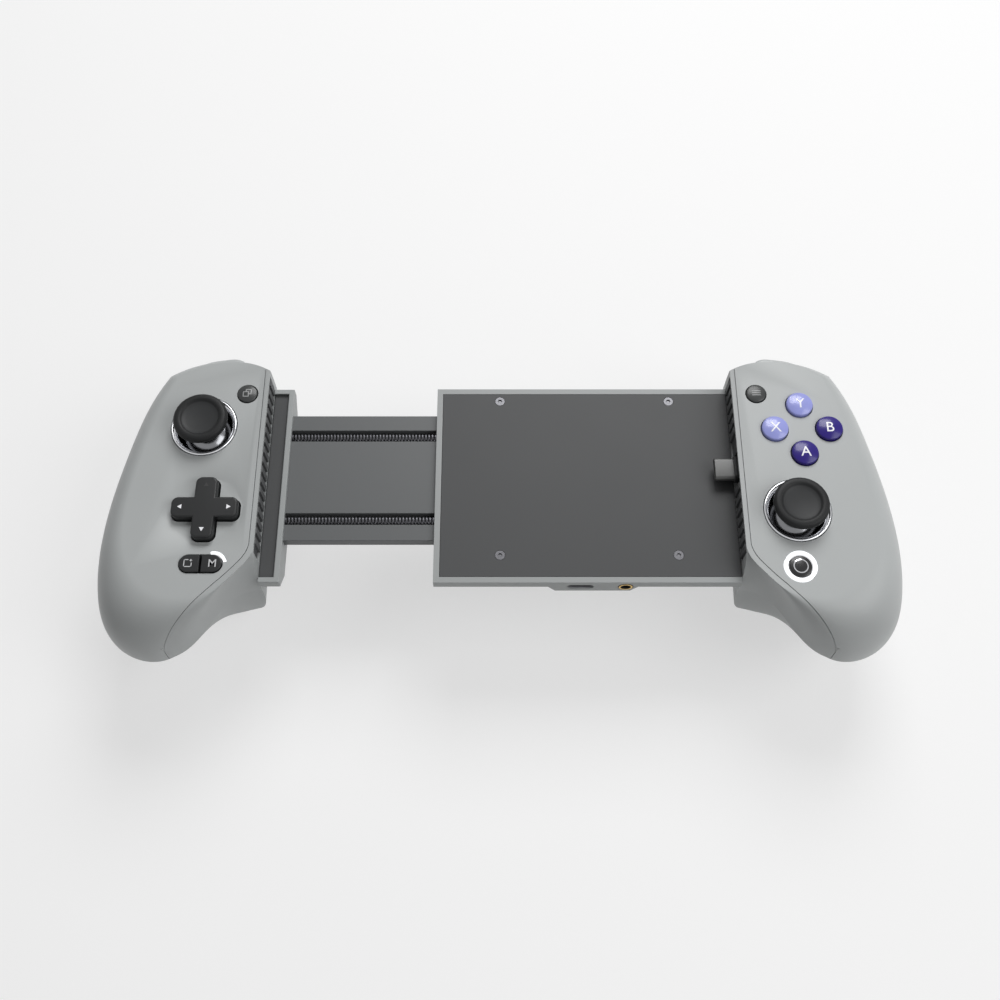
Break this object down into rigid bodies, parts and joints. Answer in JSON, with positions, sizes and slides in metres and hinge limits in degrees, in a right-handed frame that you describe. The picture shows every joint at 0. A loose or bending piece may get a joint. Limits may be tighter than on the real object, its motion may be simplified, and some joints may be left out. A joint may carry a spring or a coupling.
{
  "type": "mobile game controller",
  "caption": "Telescoping phone game controller: moulded grips with sticks, direction pad, buttons and triggers on a sliding bridge that clamps a phone.",
  "frame": {"origin": "middle of the phone's seat, on top of the bridge's lid", "axes": "+X to the player's right, along the bridge; +Y to the shoulder buttons; +Z out of the controls' faces"},
  "size_m": [0.2714, 0.1127, 0.061],
  "materials": {
    "face_plastic": "satin light grey moulding",
    "frame_plastic": "satin grey moulding",
    "shell_plastic": "satin grey moulding",
    "shoulder_plastic": "smooth light grey",
    "trigger_plastic": "smooth grey",
    "dark_plastic": "smooth dark grey",
    "stick_plastic": "soft rubber over the cap",
    "ring_metal": "polished ring",
    "dpad_plastic": "smooth dark grey",
    "button_light": "glossy pale violet dome",
    "button_deep": "glossy deep violet dome",
    "light_guide": "milky light guide",
    "pad_rubber": "dark rubber",
    "bridge_plastic": "satin grey moulding",
    "bridge_dark": "satin mid grey",
    "steel": "bright steel",
    "board_green": "solder resist",
    "membrane_rubber": "silicone rubber"
  },
  "bodies": {
    "right_grip": {"right_rear_shell": "shell_plastic", "right_front_frame": "frame_plastic", "bridge_housing": "bridge_plastic", "bridge_lid": "bridge_dark", "bridge_screws": "steel", "right_phone_pad": "pad_rubber", "charge_port": "steel", "headphone_jack": "dark_plastic", "right_control_board": "board_green", "right_membrane": "membrane_rubber", "right_stick_ring": "ring_metal", "right_stick_module": "steel", "home_light_ring": "light_guide", "right_screws": "steel", "retraction_springs": "steel", "right_shoulder_pins": "steel"},
    "left_grip": {"left_rear_shell": "shell_plastic", "left_front_frame": "frame_plastic", "left_tray": "bridge_dark", "bridge_slider": "bridge_dark", "left_phone_pad": "pad_rubber", "left_control_board": "board_green", "left_membrane": "membrane_rubber", "left_stick_ring": "ring_metal", "left_stick_module": "steel", "mode_light": "light_guide", "left_screws": "steel", "left_shoulder_pins": "steel"},
    "phone_plug": {"plug_cradle": "dark_plastic", "phone_plug": "steel"},
    "left_faceplate": {"left_faceplate": "face_plastic", "left_plate_magnets": "steel"},
    "left_stick_yoke": {"left_stick_yoke": "dark_plastic"},
    "left_stick_shaft": {"left_stick_shaft": "dark_plastic"},
    "left_thumbstick": {"left_thumbstick": "stick_plastic"},
    "left_bumper": {"left_bumper": "shoulder_plastic"},
    "left_trigger": {"left_trigger": "trigger_plastic"},
    "left_rear_button": {"left_rear_button": "dark_plastic"},
    "right_faceplate": {"right_faceplate": "face_plastic", "right_plate_magnets": "steel"},
    "right_stick_yoke": {"right_stick_yoke": "dark_plastic"},
    "right_stick_shaft": {"right_stick_shaft": "dark_plastic"},
    "right_thumbstick": {"right_thumbstick": "stick_plastic"},
    "right_bumper": {"right_bumper": "shoulder_plastic"},
    "right_trigger": {"right_trigger": "trigger_plastic"},
    "right_rear_button": {"right_rear_button": "dark_plastic"},
    "view_button": {"view_button": "dark_plastic"},
    "menu_button": {"menu_button": "dark_plastic"},
    "home_button": {"home_button": "dark_plastic"},
    "capture_button": {"capture_button": "dark_plastic"},
    "macro_button": {"macro_button": "dark_plastic"},
    "button_a": {"button_a": "button_deep"},
    "button_b": {"button_b": "button_deep"},
    "button_x": {"button_x": "button_light"},
    "button_y": {"button_y": "button_light"},
    "dpad_rocker": {"dpad_rocker": "dark_plastic"},
    "direction_pad": {"direction_pad": "dpad_plastic"}
  },
  "joints": [
    {"name": "bridge_slide", "type": "slide", "parent": "right_grip", "child": "left_grip", "axis": [-1, 0, 0], "range_m": [-0.051, 0.0243], "stiffness_N_per_m": 20, "deforming": ["retraction_springs"]},
    {"name": "plug_rock", "type": "hinge", "parent": "right_grip", "child": "phone_plug", "pos_m": [0.0857, 0, 0.00395], "axis": [0, 1, 0], "range_deg": [-9, 9], "stiffness_Nm_per_rad": 0.02},
    {"name": "left_plate_lift", "type": "slide", "parent": "left_grip", "child": "left_faceplate", "axis": [0, 0, 1], "range_m": [0, 0.03]},
    {"name": "left_stick_pitch", "type": "hinge", "parent": "left_grip", "child": "left_stick_yoke", "pos_m": [-0.10151, 0.01362, -0.0035], "axis": [1, 0, 0], "range_deg": [-13, 13], "stiffness_Nm_per_rad": 0.05},
    {"name": "left_stick_roll", "type": "hinge", "parent": "left_stick_yoke", "child": "left_stick_shaft", "pos_m": [-0.10151, 0.01362, -0.0035], "axis": [0, 1, 0], "range_deg": [-13, 13], "stiffness_Nm_per_rad": 0.05},
    {"name": "left_stick_click", "type": "slide", "parent": "left_stick_shaft", "child": "left_thumbstick", "axis": [0, 0, -1], "range_m": [0, 0.0004], "stiffness_N_per_m": 5000, "springref_m": -0.0002},
    {"name": "left_bumper_press", "type": "hinge", "parent": "left_grip", "child": "left_bumper", "pos_m": [-0.0936, 0.0399, 0], "axis": [0, 0, 1], "range_deg": [0, 2], "stiffness_Nm_per_rad": 0.8, "springref_deg": -0.57},
    {"name": "left_trigger_pull", "type": "hinge", "parent": "left_grip", "child": "left_trigger", "pos_m": [-0.1018, 0.029, -0.0135], "axis": [1, 0, 0], "range_deg": [-18, 0], "stiffness_Nm_per_rad": 0.2, "springref_deg": 5.73},
    {"name": "left_rear_press", "type": "slide", "parent": "left_grip", "child": "left_rear_button", "axis": [-0.8988, 0, 0.4384], "range_m": [0, 0.0008], "stiffness_N_per_m": 1500, "springref_m": -0.0004},
    {"name": "right_plate_lift", "type": "slide", "parent": "right_grip", "child": "right_faceplate", "axis": [0, 0, 1], "range_m": [0, 0.03]},
    {"name": "right_stick_pitch", "type": "hinge", "parent": "right_grip", "child": "right_stick_yoke", "pos_m": [0.09882, -0.01795, -0.0035], "axis": [1, 0, 0], "range_deg": [-13, 13], "stiffness_Nm_per_rad": 0.05},
    {"name": "right_stick_roll", "type": "hinge", "parent": "right_stick_yoke", "child": "right_stick_shaft", "pos_m": [0.09882, -0.01795, -0.0035], "axis": [0, 1, 0], "range_deg": [-13, 13], "stiffness_Nm_per_rad": 0.05},
    {"name": "right_stick_click", "type": "slide", "parent": "right_stick_shaft", "child": "right_thumbstick", "axis": [0, 0, -1], "range_m": [0, 0.0004], "stiffness_N_per_m": 5000, "springref_m": -0.0002},
    {"name": "right_bumper_press", "type": "hinge", "parent": "right_grip", "child": "right_bumper", "pos_m": [0.0936, 0.0399, 0], "axis": [0, 0, 1], "range_deg": [-2, 0], "stiffness_Nm_per_rad": 0.8, "springref_deg": 0.57},
    {"name": "right_trigger_pull", "type": "hinge", "parent": "right_grip", "child": "right_trigger", "pos_m": [0.1018, 0.029, -0.0135], "axis": [1, 0, 0], "range_deg": [-18, 0], "stiffness_Nm_per_rad": 0.2, "springref_deg": 5.73},
    {"name": "right_rear_press", "type": "slide", "parent": "right_grip", "child": "right_rear_button", "axis": [0.8988, 0, 0.4384], "range_m": [0, 0.0008], "stiffness_N_per_m": 1500, "springref_m": -0.0004},
    {"name": "view_button_press", "type": "slide", "parent": "left_grip", "child": "view_button", "axis": [0, 0, -1], "range_m": [0, 0.0004], "stiffness_N_per_m": 2500, "springref_m": -0.0002},
    {"name": "menu_button_press", "type": "slide", "parent": "right_grip", "child": "menu_button", "axis": [0, 0, -1], "range_m": [0, 0.0004], "stiffness_N_per_m": 2500, "springref_m": -0.0002},
    {"name": "home_button_press", "type": "slide", "parent": "right_grip", "child": "home_button", "axis": [0, 0, -1], "range_m": [0, 0.0004], "stiffness_N_per_m": 2500, "springref_m": -0.0002},
    {"name": "capture_button_press", "type": "slide", "parent": "left_grip", "child": "capture_button", "axis": [0, 0, -1], "range_m": [0, 0.0004], "stiffness_N_per_m": 2500, "springref_m": -0.0002},
    {"name": "macro_button_press", "type": "slide", "parent": "left_grip", "child": "macro_button", "axis": [0, 0, -1], "range_m": [0, 0.0004], "stiffness_N_per_m": 2500, "springref_m": -0.0002},
    {"name": "button_a_press", "type": "slide", "parent": "right_grip", "child": "button_a", "axis": [0, 0, -1], "range_m": [0, 0.0013], "stiffness_N_per_m": 400, "springref_m": -0.0005},
    {"name": "button_b_press", "type": "slide", "parent": "right_grip", "child": "button_b", "axis": [0, 0, -1], "range_m": [0, 0.0013], "stiffness_N_per_m": 400, "springref_m": -0.0005},
    {"name": "button_x_press", "type": "slide", "parent": "right_grip", "child": "button_x", "axis": [0, 0, -1], "range_m": [0, 0.0013], "stiffness_N_per_m": 400, "springref_m": -0.0005},
    {"name": "button_y_press", "type": "slide", "parent": "right_grip", "child": "button_y", "axis": [0, 0, -1], "range_m": [0, 0.0013], "stiffness_N_per_m": 400, "springref_m": -0.0005},
    {"name": "dpad_up_down", "type": "hinge", "parent": "left_grip", "child": "dpad_rocker", "pos_m": [-0.09761, -0.01795, 0.008], "axis": [1, 0, 0], "range_deg": [-5, 5], "stiffness_Nm_per_rad": 0.08},
    {"name": "dpad_left_right", "type": "hinge", "parent": "dpad_rocker", "child": "direction_pad", "pos_m": [-0.09761, -0.01795, 0.008], "axis": [0, 1, 0], "range_deg": [-5, 5], "stiffness_Nm_per_rad": 0.08}
  ]
}
